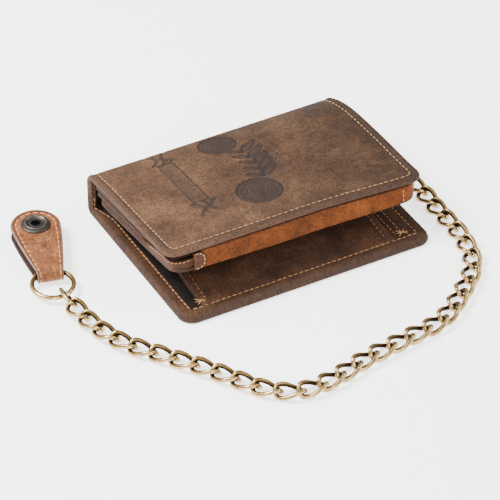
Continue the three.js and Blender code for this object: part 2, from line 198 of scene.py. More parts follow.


# Oiled, hand-rubbed cowhide: clouded brown, fine pores, dry scuffs, a darker burnished rim, and painted shade
# darkening it towards +X
def makeLeather(look):
    material, tree, shader = startMaterial(look["name"])
    lay = fromMesh(tree, "lay", "Vector")
    rim, cutEdge, press = (fromMesh(tree, name) for name in ("rim", "cutEdge", "press"))
    clouds = noise(tree, lay, 1 / look["mottle"], 5, 0.62)
    patches = noise(tree, lay, 1 / 4.5, 5, 0.7)
    pores = noise(tree, lay, 1 / 0.9, 3, 0.6)
    creases = addNode(tree, "TexVoronoi", {"Scale": 1 / 1.6}, {"Vector": lay},
                      feature="DISTANCE_TO_EDGE").outputs["Distance"]
    drawn = addNode(tree, "Mapping", {"Scale": (0.05, 0.9, 1), "Rotation": (0, 0, 0.35)}, {"Vector": lay})
    scuffs = noise(tree, drawn.outputs["Vector"], 1, 4, 0.65)
    body = ramp(tree, clouds, (0.34, sRgb(look["dark"])), (0.5, sRgb(look["base"])),
                (0.66, sRgb(look["light"])))
    patched = ramp(tree, patches, (0.3, grey(0.68)), (0.5, grey(0.96)), (0.7, grey(1.2)))
    speckled = ramp(tree, pores, (0.37, grey(0.3)), (0.47, grey(0.94)), (0.64, grey(1.3)))
    scuffed = ramp(tree, scuffs, (0.6, grey(0)), (0.74, grey(0.45)))
    rubbed = addNode(tree, "Math", {1: 1.5}, {0: patches}, operation="MULTIPLY").outputs[0]
    rimShare = addNode(tree, "Math", {}, {0: rim, 1: rubbed}, operation="MULTIPLY", use_clamp=True)
    # Painted shade: the colour is darkened towards +X, away from the key light
    across = addNode(tree, "SeparateXYZ", inputs={0: lay}).outputs["X"]
    paintedShade = addNode(tree, "MapRange", {1: -62, 2: 62, 3: 1, 4: 1 - look["paintedShade"]}, {0: across}).outputs[0]
    colour = mixColours(tree, "MIX", rimShare.outputs[0], body, sRgb(look["edge"]))
    colour = mixColours(tree, "MIX", cutEdge, colour, sRgb(look["cut"]))
    colour = mixColours(tree, "MULTIPLY", 1, colour, patched)
    colour = mixColours(tree, "MULTIPLY", 0.7, colour, speckled)
    colour = mixColours(tree, "MULTIPLY", 1, colour, paintedShade)
    colour = mixColours(tree, "MIX", scuffed, colour, sRgb(look["scuff"]))
    # Painted shade is drawn with the press colour too: in a seam's crease, along the emblem's outlines and in
    # the fob's belt gap
    colour = mixColours(tree, "MIX", press, colour, sRgb(look["press"]))
    tree.links.new(colour, shader.inputs["Base Color"])
    shine = addNode(tree, "MapRange", {1: 0.3, 2: 0.7, 3: look["rough"] - 0.12, 4: look["rough"] + 0.12},
                    {0: patches})
    tree.links.new(shine.outputs[0], shader.inputs["Roughness"])
    grain = addNode(tree, "Math", {1: 0.5}, {0: pores}, operation="MULTIPLY").outputs[0]
    furrow = addNode(tree, "MapRange", {1: 0, 2: 0.25, 3: 0, 4: 0.5}, {0: creases}).outputs[0]
    height = addNode(tree, "Math", {}, {0: grain, 1: furrow}, operation="ADD").outputs[0]
    bumpUp(tree, shader, height, 0.55, 0.16)
    shader.inputs["Specular IOR Level"].default_value = look.get("gloss", 0.22)
    return material


metals = {
    "brass": {"name": "antiqueBrassPlated", "dark": "#241A10", "base": "#866A3E", "light": "#D8BA80",
              "rough": 0.22, "grime": 2.2},
    "gunmetal": {"name": "gunmetalPlatedSteel", "dark": "#0D0C0B", "base": "#57504A", "light": "#A39A90",
                 "rough": 0.34, "grime": 1.6},
}


# Plated and tumbled metal: patchy grime, dark oxide in the hollows, and painted shade and highlight: each
# wire is darker on its inner side, partly oxide and partly shade, darker underneath and lighter on top
def makeMetal(look):
    material, tree, shader = startMaterial(look["name"])
    place = addNode(tree, "TexCoord").outputs["Object"]
    grime = noise(tree, place, 1000 / look["grime"], 4, 0.6)
    dust = noise(tree, place, 1000 / 0.35)
    shade = addNode(tree, "Math", {1: 0.45}, {0: grime}, operation="MULTIPLY").outputs[0]
    # Grime plus the mesh's mark of oxide and painted shade; where both are low the colour is lightest, in
    # part a painted highlight
    grimeAndShade = addNode(tree, "Math", {}, {0: shade, 1: fromMesh(tree, "oxideAndShade")}, operation="ADD",
                   use_clamp=True).outputs[0]
    colour = ramp(tree, grimeAndShade, (0.1, sRgb(look["light"])), (0.32, sRgb(look["base"])),
                  (0.9, sRgb(look["dark"])))
    tree.links.new(colour, shader.inputs["Base Color"])
    shine = addNode(tree, "MapRange", {1: 0.1, 2: 0.9, 3: look["rough"], 4: look["rough"] + 0.3}, {0: grimeAndShade})
    tree.links.new(shine.outputs[0], shader.inputs["Roughness"])
    bumpUp(tree, shader, dust, 0.25, 0.03)
    shader.inputs["Metallic"].default_value = 1
    return material


# Black plain-woven polyester: matt, with a fine over-and-under of threads 0.6 mm apart, drawn
# a little coarser than real so that it shows
def makeLining():
    material, tree, shader = startMaterial("polyesterWovenBlack")
    lay = fromMesh(tree, "lay", "Vector")
    warp, weft = (addNode(tree, "TexWave", {"Scale": 1 / 0.6, "Distortion": 0.3}, {"Vector": lay},
                          bands_direction=axis).outputs["Fac"] for axis in "XY")
    weave = addNode(tree, "Math", {}, {0: warp, 1: weft}, operation="MAXIMUM").outputs[0]
    colour = ramp(tree, noise(tree, lay, 1 / 9, 4), (0.3, sRgb("#120D0B")), (0.7, sRgb("#1F1714")))
    tree.links.new(colour, shader.inputs["Base Color"])
    bumpUp(tree, shader, weave, 0.5, 0.1)
    shader.inputs["Roughness"].default_value = 0.85
    shader.inputs["Specular IOR Level"].default_value = 0.15
    return material


threads = {"cream": ("waxedLinenCream", "#80562F", "#B98A58"),
           "orange": ("waxedLinenOrange", "#B0622C", "#DF9658")}


# Waxed linen thread: laid strands that catch the light between darker waxed hollows
def makeThread(name, dark, light):
    material, tree, shader = startMaterial(name)
    strands = noise(tree, addNode(tree, "TexCoord").outputs["Object"], 1000 / 0.5, 3)
    colour = ramp(tree, strands, (0.35, sRgb(dark)), (0.6, sRgb(light)))
    tree.links.new(colour, shader.inputs["Base Color"])
    bumpUp(tree, shader, strands, 0.4, 0.08)
    shader.inputs["Roughness"].default_value = 0.6
    return material


# Pale matt paper sweep
def makeFloor():
    material, tree, shader = startMaterial("studioPaperMatt")
    fibre = noise(tree, addNode(tree, "TexCoord").outputs["Object"], 60)
    tone = addNode(tree, "MapRange", {3: 0.93, 4: 0.96}, {0: fibre}).outputs[0]
    tree.links.new(tone, shader.inputs["Roughness"])
    for name in ("Base Color", "Emission Color"):
        shader.inputs[name].default_value = sRgb(view["floor"])
    shader.inputs["Emission Strength"].default_value = view["glow"]
    bm = bmesh.new()
    bmesh.ops.create_grid(bm, x_segments=1, y_segments=1, size=3)
    mesh = bpy.data.meshes.new("floor")
    bm.to_mesh(mesh)
    bm.free()
    mesh.materials.append(material)
    floor = bpy.data.objects.new("floor", mesh)
    bpy.context.scene.collection.objects.link(floor)


leather = {key: makeLeather(look) for key, look in leathers.items()}
metal = {key: makeMetal(look) for key, look in metals.items()}
thread = {key: makeThread(*look) for key, look in threads.items()}
lining = makeLining()
makeView()
makeLights()
makeFloor()
print("view, lights and materials ready")


# Panels: a grid laid flat, its corners rounded, given its thickness, and put in place

def spread(marks, step):
    marks = sorted(set(marks))
    lines = [marks[0]]
    for low, high in zip(marks, marks[1:]):
        count = max(1, math.ceil((high - low) / step - 1e-6))
        lines += [low + (high - low) * (i + 1) / count for i in range(count)]
    return lines


# An edge is rounded over shares of half the thickness. A thread lies in a groove, with a crease on its
# outer side painted dark as shade, and a swelling between the crease and the edge.
edging = {"round": (0.08, 0.25, 0.5, 0.8, 1.1), "flattest": 0.03, "cut": 0.6, "rimFall": 0.6,
          "sewn": (-0.8, -0.35, 0, 0.35, 0.8), "groove": (0.28, 0.55), "swell": (0.28, 0.45),
          "crease": (0.3, 0.9, 0.38), "creaseShade": 0.7, "step": 3, "inside": 40}


def gridLines(look):
    (u0, u1), (v0, v1) = look["u"], look["v"]
    offsets = [look["thickness"] / 2 * share for share in edging["round"]] + look.get("steps", [])
    offsets += [inset + shift for inset in look.get("stitch", ()) for shift in edging["sewn"]]
    offsets = [offset for offset in offsets if offset < min(u1 - u0, v1 - v0) / 2]
    free = look.get("free", ("left", "right", "near"))
    marksU, marksV = [u0, u1] + look.get("marksU", []), [v0, v1] + look.get("marksV", [])
    for offset in offsets:
        marksU += [u0 + offset] * ("left" in free) + [u1 - offset] * ("right" in free)
        marksV += [v0 + offset] * ("near" in free) + [v1 - offset] * ("far" in free)
    step = look.get("step", edging["step"])
    return spread(marksU, step), spread(marksV, step)


# A vertex's place in the sheet, with round corners, and how far it is from the nearest free edge
def layOut(look, u, v):
    (u0, u1), (v0, v1) = look["u"], look["v"]
    corner, free = look.get("corner", 0), look.get("free", ("left", "right", "near"))
    sides = {"left": u - u0, "right": u1 - u, "near": v - v0, "far": v1 - v}
    depth = min([sides[side] for side in free] or [min(u1 - u0, v1 - v0) / 2])
    reachU = min([corner] + [sides[side] for side in ("left", "right") if side in free]) - corner
    reachV = min([corner] + [sides[side] for side in ("near", "far") if side in free]) - corner
    if reachU < 0 and reachV < 0:
        share = max(-reachU, -reachV) / math.hypot(reachU, reachV) - 1
        u += math.copysign(reachU * share, u0 + u1 - 2 * u)
        v += math.copysign(reachV * share, v0 + v1 - 2 * v)
    return u, v, depth


def addPanel(bm, look, place, relief=None, press=None):
    half = look["thickness"] / 2
    us, vs = gridLines(look)
    layers, seed = bm.verts.layers, look.get("seed", 0)
    lay = layers.float_vector.get("lay") or layers.float_vector.new("lay")
    rim, cutEdge, pressed = (layers.float.get(name) or layers.float.new(name)
                             for name in ("rim", "cutEdge", "press"))
    sheet = bmesh.ops.create_grid(bm, x_segments=len(us) - 1, y_segments=len(vs) - 1, size=1)["verts"]
    under = {}
    for vert in sheet:
        u, v, depth = layOut(look, us[round((vert.co.x + 1) / 2 * (len(us) - 1))],
                             vs[round((vert.co.y + 1) / 2 * (len(vs) - 1))])
        vert.co = (u, v, 0)
        vert[lay] = (u, v, seed)
        under[tuple(vert.co)] = depth
    faces = {face for vert in sheet for face in vert.link_faces}
    copied = bmesh.ops.extrude_face_region(bm, geom=list(faces), use_keep_orig=True)["geom"]
    top = [item for item in copied if isinstance(item, bmesh.types.BMVert)]
    for isTop, verts in ((False, sheet), (True, top)):
        for vert in verts:
            u, v, _ = vert.co
            depth = under[tuple(vert.co)]
            arch = 1 - min(1, depth / half)
            lift = half * math.sqrt(max(1 - arch * arch, edging["flattest"]))
            h = half - lift if isTop else half + lift
            if isTop and look.get("stitch"):
                sunk, width = edging["groove"]
                h += sum(sunk * math.exp(-((depth - inset) / width) ** 2) for inset in look["stitch"])
                swell, share = edging["swell"]
                h -= swell * math.exp(-(depth - look["stitch"][0] * share) ** 2)
                sunk, aside, width = edging["crease"]
                creased = math.exp(-((depth - look["stitch"][0] + aside) / width) ** 2)
                h += sunk * creased
                # Painted shade: the crease is darkened with the press colour
                vert[pressed] = edging["creaseShade"] * creased
            if "rimWidth" in look:
                vert[rim] = max(0.0, 1 - depth / look["rimWidth"]) ** edging["rimFall"]
            vert[cutEdge] = 1.0 if depth < half * edging["cut"] else 0.0
            if not isTop:
                vert[lay] = (u, v, seed + edging["inside"])
            if press and isTop:
                mark = press(u, v)
                vert[pressed] = max(vert[pressed], mark)
                h += mark * look["pressDepth"]
            if relief:
                h += relief(u, v, depth, isTop)
            vert.co = place(u, v, h)


def finishPiece(bm, name, material, body=None, replaces=(), crease=50):
    bmesh.ops.recalc_face_normals(bm, faces=bm.faces)
    bmesh.ops.scale(bm, vec=(mm, mm, mm), verts=bm.verts)
    mesh = bpy.data.meshes.new(name)
    bm.to_mesh(mesh)
    bm.free()
    mesh.polygons.foreach_set("use_smooth", [True] * len(mesh.polygons))
    mesh.set_sharp_from_angle(angle=math.radians(crease))
    mesh.materials.append(material)
    piece = bpy.data.objects.new(name, mesh)
    bpy.context.scene.collection.objects.link(piece)
    if body:
        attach(piece, body)
    if replaces:
        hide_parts(*replaces)
    return piece


def leatherPiece(name, key, look, place, body=None, replaces=(), relief=None, press=None):
    bm = bmesh.new()
    addPanel(bm, look, place, relief, press)
    return finishPiece(bm, name, leather[key], body, replaces)


# A line in a plane made of straight runs and arcs; h is measured to its right, or left if hand is -1
def followPath(path, s, h):
    x, y = path["start"]
    heading = path["heading"]
    for length, turn in path["runs"][:-1]:
        part = min(s, length)
        turned = turn * part / length
        chord = part if abs(turn) < 1e-9 else 2 * length / turn * math.sin(turned / 2)
        x += chord * math.cos(heading + turned / 2)
        y += chord * math.sin(heading + turned / 2)
        heading += turned
        s -= part
        if s <= 0:
            break
    x += s * math.cos(heading) + h * path["hand"] * math.sin(heading)
    y += s * math.sin(heading) - h * path["hand"] * math.cos(heading)
    return x, y


# Stitches: short waxed strands laid end to end along a line, each a little out of true

sewing = {"pitch": 2.75, "fill": 0.8, "radius": 0.22, "sink": 0.06, "flat": 1.15, "wander": 0.1,
          "overlap": 0.08, "cornerSteps": 6}


def addStitch(bm, start, end, up, radius):
    along = end - start
    side = up.cross(along).normalized()
    lift = along.normalized().cross(side) * -1
    turn = Matrix((along / 2, side * radius * sewing["flat"], lift * radius)).transposed().to_4x4()
    turn.translation = (start + end) / 2
    bmesh.ops.create_uvsphere(bm, u_segments=7, v_segments=4, radius=1, matrix=turn)


def sew(bm, line, place, seed, pitch=None, radius=None, h=None):
    rng = random.Random(seed)
    pitch, radius = pitch or sewing["pitch"], radius or sewing["radius"]
    h = sewing["sink"] if h is None else h
    lengths = [math.dist(a, b) for a, b in zip(line, line[1:])]
    total = sum(lengths)
    count = max(1, round(total / pitch))

    def pointAt(distance):
        for (a, b), length in zip(zip(line, line[1:]), lengths):
            if distance <= length:
                share = distance / length
                return [a[0] + (b[0] - a[0]) * share, a[1] + (b[1] - a[1]) * share]
            distance -= length
        return list(line[-1])

    gap, wander = (1 - sewing["fill"]) / 2, sewing["wander"]
    for i in range(count):
        ends = [pointAt((i + share) * total / count) for share in (gap, 1 - gap)]
        for point, sign in zip(ends, (-1, 1)):
            point[0] += rng.uniform(-wander, wander) + sign * sewing["overlap"]
            point[1] += rng.uniform(-wander, wander)
        start, end = (place(u, v, h) for u, v in ends)
        up = place(*ends[0], h - 1) - start
        addStitch(bm, start, end, up, radius)


# Three sides of a panel, inset from its edge, round both near corners
def borderLine(look, inset):
    (u0, u1), (v0, v1) = look["u"], look["v"]
    corner, steps = look["corner"], sewing["cornerSteps"]
    line = [(u0 + inset, v1)]
    for centre, start in ((u0 + corner, math.pi), (u1 - corner, 1.5 * math.pi)):
        for i in range(steps + 1):
            angle = start + i * math.pi / (2 * steps)
            line.append((centre + (corner - inset) * math.cos(angle),
                         v0 + corner + (corner - inset) * math.sin(angle)))
    return line + [(u1 - inset, v1)]


# The emblem pressed into the cover: two grooved discs, a leafy spray between them and a plain ribbon, each
# shape pressed dark with its outline painted darker as shade

emblem = {"nearDisc": (-4.6, 27, 10.4), "farDisc": (-2.5, 71, 9), "low": (-38, 16), "high": (21, 84),
          "rings": (0.86, 0.62, 0.44, 0.28, 0.14), "ribbon": (-29.5, 33, 70, 3.5), "border": 0.35,
          "curls": 15, "leaf": (4.6, 1.75), "stem": (37, 5.4, 5), "leafTurn": 58,
          "leafSizes": ((-1, 0.85), (1, 1.25)), "grid": 0.6}


def soft(distance, width=0.35):
    return min(1.0, max(0.0, 0.5 - distance / width))


def discMark(u, v, centreU, centreV, radius):
    reach = math.hypot(u - centreU, v - centreV)
    if reach > radius + 1:
        return 0.0
    lines = max(soft(abs(reach - radius * share) - 0.18) for share in emblem["rings"])
    # The ring along the disc's edge is painted darker as shade
    border = soft(abs(reach - radius + 0.4) - emblem["border"])
    return soft(reach - radius) * (0.82 + 0.18 * border) * (1 - 0.55 * lines)


def leafMark(u, v, rootU, rootV, turn, size=1.0):
    long, wide = (extent * size for extent in emblem["leaf"])
    du, dv = u - rootU, v - rootV
    along = dv * math.cos(turn) + du * math.sin(turn) - long
    across = du * math.cos(turn) - dv * math.sin(turn)
    reach = math.hypot(along / long, across / (wide * (1.1 - 0.35 * along / long)))
    veins = max(soft(abs(across) - 0.14), soft(abs(math.sin((along + abs(across)) * 2.2)) * 0.7 - 0.12))
    # The leaf's outline is painted darker as shade
    border = soft(abs((reach - 1) * 1.8 + 0.3) - 0.25)
    return soft((reach - 1) * 1.8) * (0.7 + 0.3 * border) * (1 - 0.6 * veins)


def sprayMark(u, v):
    low, pitch, count = emblem["stem"]
    mark = 0.0
    for i in range(count):
        rootV = low + i * pitch
        rootU = 2.5 + 2 * math.sin((rootV - 36) * 0.11)
        mark = max(mark, soft(math.hypot(u - rootU, v - rootV) - 1.3))
        for hand, size in emblem["leafSizes"]:
            mark = max(mark, leafMark(u, v, rootU, rootV, math.radians(emblem["leafTurn"] * hand), size))
    return mark


def ribbonMark(u, v):
    centre, low, high, half = emblem["ribbon"]
    border, curls = emblem["border"], emblem["curls"]
    across = abs(u - centre)
    if low < v < high:
        # The ribbon's outlines and ends are painted shade, darker than its fill
        closing = max(soft(abs(v - low - 0.4) - border), soft(abs(v - high + 0.4) - border))
        return max(soft(abs(across - half) - border), 0.4 * soft(across - half + 0.7),
                   closing * soft(across - half))
    past = low - v if v <= low else v - high
    if past > curls:
        return 0.0
    mark = 0.0
    for i in (-1, 0, 1):
        aside = u - (centre + i * 3.2 + 1.7 * math.sin(past * 0.55 + i * 1.3))
        # Each curl is painted darker along one side as shade
        edge = 0.6 + 0.4 * soft(abs(aside + 0.8) - 0.4)
        mark = max(mark, soft(abs(aside) - 1.5 * (1 - past / curls)) * edge)
    return mark


def pressEmblem(u, v):
    (lowU, lowV), (highU, highV) = emblem["low"], emblem["high"]
    if not (lowU < u < highU and lowV < v < highV):
        return 0.0
    return max(discMark(u, v, *emblem["nearDisc"]), discMark(u, v, *emblem["farDisc"]),
               sprayMark(u, v), ribbonMark(u, v))


# Shell: two leather pieces that meet half way up the spine, each bent over one fold

shell = {"thickness": 2.4, "coverThickness": 2.2, "corner": 7, "topBend": 4.6, "lowBend": 3.6, "tilt": 7,
         "stitchInset": 4.2, "bulge": 4, "droop": 2.4, "flare": 0.03, "bandWidth": 7, "spineBand": 3.6,
         "bandRise": 1.3, "nearBand": 5.6, "nearRise": 2.5, "steps": [1.8, 2.1, 2.4, 2.7, 3.1, 3.6],
         "bandSteps": [4.6, 5, 5.4, 5.8, 6.2, 6.6, 7], "threadInset": 1.5, "tackPlace": (12, 7.6, 4.9),
         "tackRadius": 0.22,
         "tack": (((-2.9, -1.8), (2.7, 2.9)), ((2.4, -1.6), (-2.4, 3.2)), ((-3.4, 0.9), (3.4, 0.1)))}
backLow, backHigh = boxOf("back_panel")
coverLow = boxOf("front_cover")[0]
left, right = backLow.x, backHigh.x
spineLine = joints["cover_fold"]["pos_m"][1] / mm
spineTop = joints["cover_fold"]["pos_m"][2] / mm
seam = spineTop / 2
tilt = math.radians(shell["tilt"])
coverDepth = (spineLine - coverLow.y - shell["coverThickness"] * math.sin(tilt)) / math.cos(tilt)


def ease(value):
    value = min(1, max(0, value))
    return value * value * (3 - 2 * value)


# How far the cover's near right corner hangs down, with all that is under it
def droop(x, y):
    return shell["droop"] * ease((x - 6) / 56) * ease((-y - 45) / 38)


# A point under the cover: y runs back from the fold and z down from the cover's face
def underCover(x, y, z):
    return Vector((x, spineLine + y * math.cos(tilt) + z * math.sin(tilt),
                   spineTop - y * math.sin(tilt) + z * math.cos(tilt) - droop(x, y)))


coverTurn = math.pi / 2 - tilt
coverTangent = shell["topBend"] * math.tan(coverTurn / 2)
coverArc = shell["topBend"] * coverTurn
coverStart = underCover(0, -coverDepth, 0)
coverPath = {"start": (coverStart.y, coverStart.z), "heading": -tilt, "hand": 1,
             "runs": [(coverDepth - coverTangent, 0), (coverArc, -coverTurn), (1, 0)]}
coverLength = coverDepth - coverTangent + coverArc + spineTop - coverTangent - seam
backDepth = spineLine - backLow.y
backArc = shell["lowBend"] * math.pi / 2
backPath = {"start": (backLow.y, 0), "heading": 0, "hand": -1,
            "runs": [(backDepth - shell["lowBend"], 0), (backArc, math.pi / 2), (1, 0)]}
backLength = backDepth - shell["lowBend"] + backArc + seam - shell["lowBend"]


# The cover arches over what it holds, most of all beside the chain and close to the spine
def bulge(u, v):
    rise = math.sin(math.pi * min(1, max(0, v / coverDepth)) ** 2.4)
    return shell["bulge"] * rise * (0.15 + 0.85 * ((u - left) / (right - left)) ** 1.3)


def placeCover(u, v, h):
    y, z = followPath(coverPath, v, h - bulge(u, v))
    flare = 1 + shell["flare"] * max(0, 1 - v / coverDepth)
    return Vector((u * flare, y, z - droop(u, v - coverDepth)))


def placeBack(u, v, h):
    y, z = followPath(backPath, v, h)
    return Vector((u, y, z))


def turnedBand(u, v, depth, isTop):
    if isTop:
        return 0
    width = shell["bandWidth"] + (shell["spineBand"] - shell["bandWidth"]) * ease((v - backDepth + 16) / 12)
    side = shell["bandRise"] * ease((width - min(u - left, right - u)) / 0.9)
    near = shell["nearRise"] * ease((shell["nearBand"] - v) / 1.4)
    swell = 0.25 * math.exp(-((depth - 3) / 1.6) ** 2)
    groove = 0.35 * math.exp(-((min(u - left, right - u) - width + shell["threadInset"]) / 0.5) ** 2)
    onBand = ease(depth / 1.5)
    return (max(side, near) + swell - groove * (v > shell["nearBand"])) * onBand


# The cover's half of the spine has the same turned band as the back's
def coverBand(u, v, depth, isTop):
    return 0 if isTop else turnedBand(u, backDepth, depth, isTop) * ease((v - coverDepth + 2) / 4)


coverLook = {"u": (left, right), "v": (0, coverLength), "thickness": shell["coverThickness"],
             "corner": shell["corner"], "stitch": [shell["stitchInset"]], "steps": shell["steps"],
             "step": 2.6, "rimWidth": 5.5, "pressDepth": 0.75, "seed": 3}
coverLook["marksU"] = spread([emblem["low"][0], emblem["high"][0]], emblem["grid"])
coverLook["marksV"] = spread([emblem["low"][1], emblem["high"][1]], emblem["grid"])
coverLook["marksV"] += spread([coverDepth - coverTangent, coverDepth - coverTangent + coverArc], 0.8)
backLook = {"u": (left, right), "v": (0, backLength), "thickness": shell["thickness"],
            "corner": shell["corner"], "stitch": [shell["stitchInset"]], "rimWidth": 6, "step": 2.6,
            "steps": shell["steps"] + shell["bandSteps"], "seed": 9}
backLook["marksV"] = spread([backDepth - shell["lowBend"], backDepth + shell["lowBend"]], 0.8)


def blendTop(piece):
    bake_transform(piece)


def blendLow(piece):
    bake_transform(piece)


def makeShell():
    blendTop(leatherPiece("cover_leather", "shell", coverLook, placeCover, None,
                          ["front_cover", "spine_panel"], coverBand, pressEmblem))
    blendLow(leatherPiece("back_leather", "back", backLook, placeBack, None, ["back_panel"], turnedBand))
    bm = bmesh.new()
    sew(bm, borderLine(coverLook, shell["stitchInset"]), placeCover, 11)
    blendTop(finishPiece(bm, "cover_stitches", thread["cream"]))
    bm = bmesh.new()
    inset = shell["bandWidth"] - shell["threadInset"]

    def onBand(u, v, h):
        return placeBack(u, v, shell["thickness"] + shell["bandRise"] - h)

    for side in (left + inset, right - inset):
        out = math.copysign(shell["bandWidth"] - shell["spineBand"], side)
        run = [(side + out, backLength - 1), (side + out, backDepth - 4), (side, backDepth - 15),
               (side, shell["nearBand"] + 1)]
        sew(bm, run, onBand, 12)
    nearTop = shell["thickness"] + shell["nearRise"]

    def onNear(u, v, h):
        return Vector((u, backLow.y + v, nearTop - h))

    sew(bm, [(left + 6, 4.6), (right - 6, 4.6)], onNear, 13)
    inset, near, high = shell["tackPlace"]
    for hand in (-1, 1):  # crossed tacks at both near corners
        middle = Vector(((right - inset) * hand, backLow.y + near, high))
        for start, end in shell["tack"]:
            addStitch(bm, middle + Vector(start).to_3d(), middle + Vector(end).to_3d(), Vector((0, 0, 1)),
                      shell["tackRadius"])
    blendLow(finishPiece(bm, "back_stitches", thread["cream"]))


makeShell()
print("shell made")


# Linings: black cloth glued under the cover, down the spine and over the back

cloth = {"thickness": 0.3, "corner": 5, "step": 4}


def liningPiece(name, low, high, place, body, replaces, level):
    look = dict(cloth, u=(low[0], high[0]), v=(low[1], high[1]), seed=level)
    bm = bmesh.new()
    addPanel(bm, look, place)
    piece = finishPiece(bm, name, lining, body, replaces)


def makeLinings():
    low, high = boxOf("bill_lining")
    liningPiece("bill_lining_cloth", (low.x, low.y), (high.x, high.y),
                lambda u, v, h: Vector((u, v, high.z - h)), "back", ["bill_lining"], 1)
    low, high = boxOf("cover_lining")
    top = -shell["coverThickness"] - cloth["thickness"]
    liningPiece("cover_lining_cloth", (low.x, -coverDepth + 3.6), (high.x, -6),
                lambda u, v, h: underCover(u, v, top - h), "cover", ["cover_lining"], 2)
    inside = spineLine - shell["thickness"] - cloth["thickness"] / 2
    liningPiece("spine_lining_cloth", (left + 1.2, 3.6), (right - 1.2, spineTop - 4.2),
                lambda u, v, h: Vector((u, inside - h, v)), "spine", (), 3)


makeLinings()
print("linings laid")


# Inner panel: the front wall of the bill compartment, with turned ends

inner = {"thickness": 1.6, "bandWidth": 4.8, "bandRise": 0.5, "steps": [4.2, 4.5, 4.8, 5.2],
         "thread": 3.6, "riseStart": 5, "riseRun": 34}


def makeInner():
    low, high = boxOf("inner_panel")
    bottom, top = low.z + inner["thickness"], high.z
    depth = high.y - low.y

    def placeInner(u, v, h):
        rise = ease((v - inner["riseStart"]) / inner["riseRun"])
        sag = 0.35 * math.sin((u - low.x) * 0.06) * math.sin(v * 0.05)
        return Vector((u, low.y + v, bottom + (top - bottom) * rise + sag * rise - h))

    def turnedEnds(u, v, depthIn, isTop):
        side = min(u - low.x, high.x - u)
        if not isTop:
            return 0
        return -inner["bandRise"] * ease((inner["bandWidth"] - side) / 0.6) * ease(side / 0.8)

    look = {"u": (low.x, high.x), "v": (0, depth), "thickness": inner["thickness"],
            "free": ("left", "right", "far"), "steps": inner["steps"], "step": 2.5, "rimWidth": 5,
            "seed": 17}
    leatherPiece("inner_panel_leather", "inner", look, placeInner, "back", ["inner_panel"], turnedEnds)
    bm = bmesh.new()
    for side in (low.x + inner["thread"], high.x - inner["thread"]):
        sew(bm, [(side, 7), (side, depth - 1)], placeInner, 21, h=-0.35)
    finishPiece(bm, "inner_panel_stitches", thread["cream"], "back")


facing = {"thickness": 1, "tuck": 1.2, "near": 2, "far": 27, "lift": 0.1, "threads": (2.4, 5.6)}


# A dark facing strip over the lining at the chain's side, held by two lines of thread
def makeFacing():
    low, high = boxOf("inner_panel")
    top = boxOf("bill_lining")[1].z + facing["lift"]
    look = {"u": (high.x - facing["tuck"], right - shell["bandWidth"] + facing["tuck"]),
            "v": (low.y + facing["near"], facing["far"]), "thickness": facing["thickness"],
            "free": ("right", "far"), "rimWidth": 2, "seed": 23}

    def placeFacing(u, v, h):
        return Vector((u, v, top + look["thickness"] - h))

    # Its leather is the back's, whose colours are the shell's painted darker as shade
    leatherPiece("side_facing_leather", "back", look, placeFacing, "back")
    bm = bmesh.new()
    for aside in facing["threads"]:
        side = high.x + aside
        sew(bm, [(side, facing["far"] - 1), (side, low.y + 8)], placeFacing, 24)
    finishPiece(bm, "side_facing_stitches", thread["cream"], "back")


makeInner()
makeFacing()
print("inner panel made")


# Card pockets: two stacked layers under the cover that stop short of the spine, each with a line of thread
# near its end

pockets = {"inset": 2.6, "thickness": 2.1, "gap": 0.3, "spineGap": 6.2, "depth": 70, "fan": (1.5, 2.2),
           "under": 0.9, "shift": (0.5, 1.8), "corner": 1.5, "thread": 1.3}


def makePockets():
    top = -shell["coverThickness"] - pockets["under"]
    for level, name in enumerate(("card_pocket_upper", "card_pocket_lower")):
        start = top - level * (pockets["thickness"] + pockets["gap"])
        shiftU, shiftV = (level * shift for shift in pockets["shift"])
        far = -pockets["spineGap"] - shiftV
        look = {"u": (left + pockets["inset"] + shiftU, right - pockets["inset"]),
                "v": (far - pockets["depth"], far), "thickness": pockets["thickness"],
                "free": ("left", "right", "near", "far"), "corner": pockets["corner"], "step": 3.5,
                "seed": 30 + level, "rimWidth": 3}

        def placePocket(u, v, h, start=start):
            wave = 0.18 * math.sin(v * 0.21 + level * 2) * ease((left + 12 - u) / 8)
            out = pockets["fan"][level] * ease((v + 62) / 14) * ease((left + 16 - u) / 10)
            return underCover(u - out, v, start - h + wave)

        leatherPiece(name + "_leather", "pocket", look, placePocket, "cover", [name])
        bm = bmesh.new()
        side = look["u"][0] + pockets["thread"]
        sew(bm, [(side, far - 2), (side, far - pockets["depth"] + 8)], placePocket, 31 + level, 2.2, 0.26)
        finishPiece(bm, name + "_stitches", thread["cream"], "cover")


makePockets()
print("card pockets made")


# Coin box: a floor, a near wall that runs round the right corner, a gusset at the left corner, a tongue

coin = {"wall": 1.6, "floor": 1.8, "height": 9.2, "side": 1.2, "front": 1.5, "spineGap": 6.5, "corner": 7,
        "tabStart": 11, "gusset": 1.7, "gussetTop": 5.2, "gussetEnd": 19, "back": 26, "sag": 1.5,
        "floorRim": 5.2, "tab": (-1.2, 4.6, 0.8), "tongue": (9, 0.8, 15.8), "tongueDrop": 3.7}


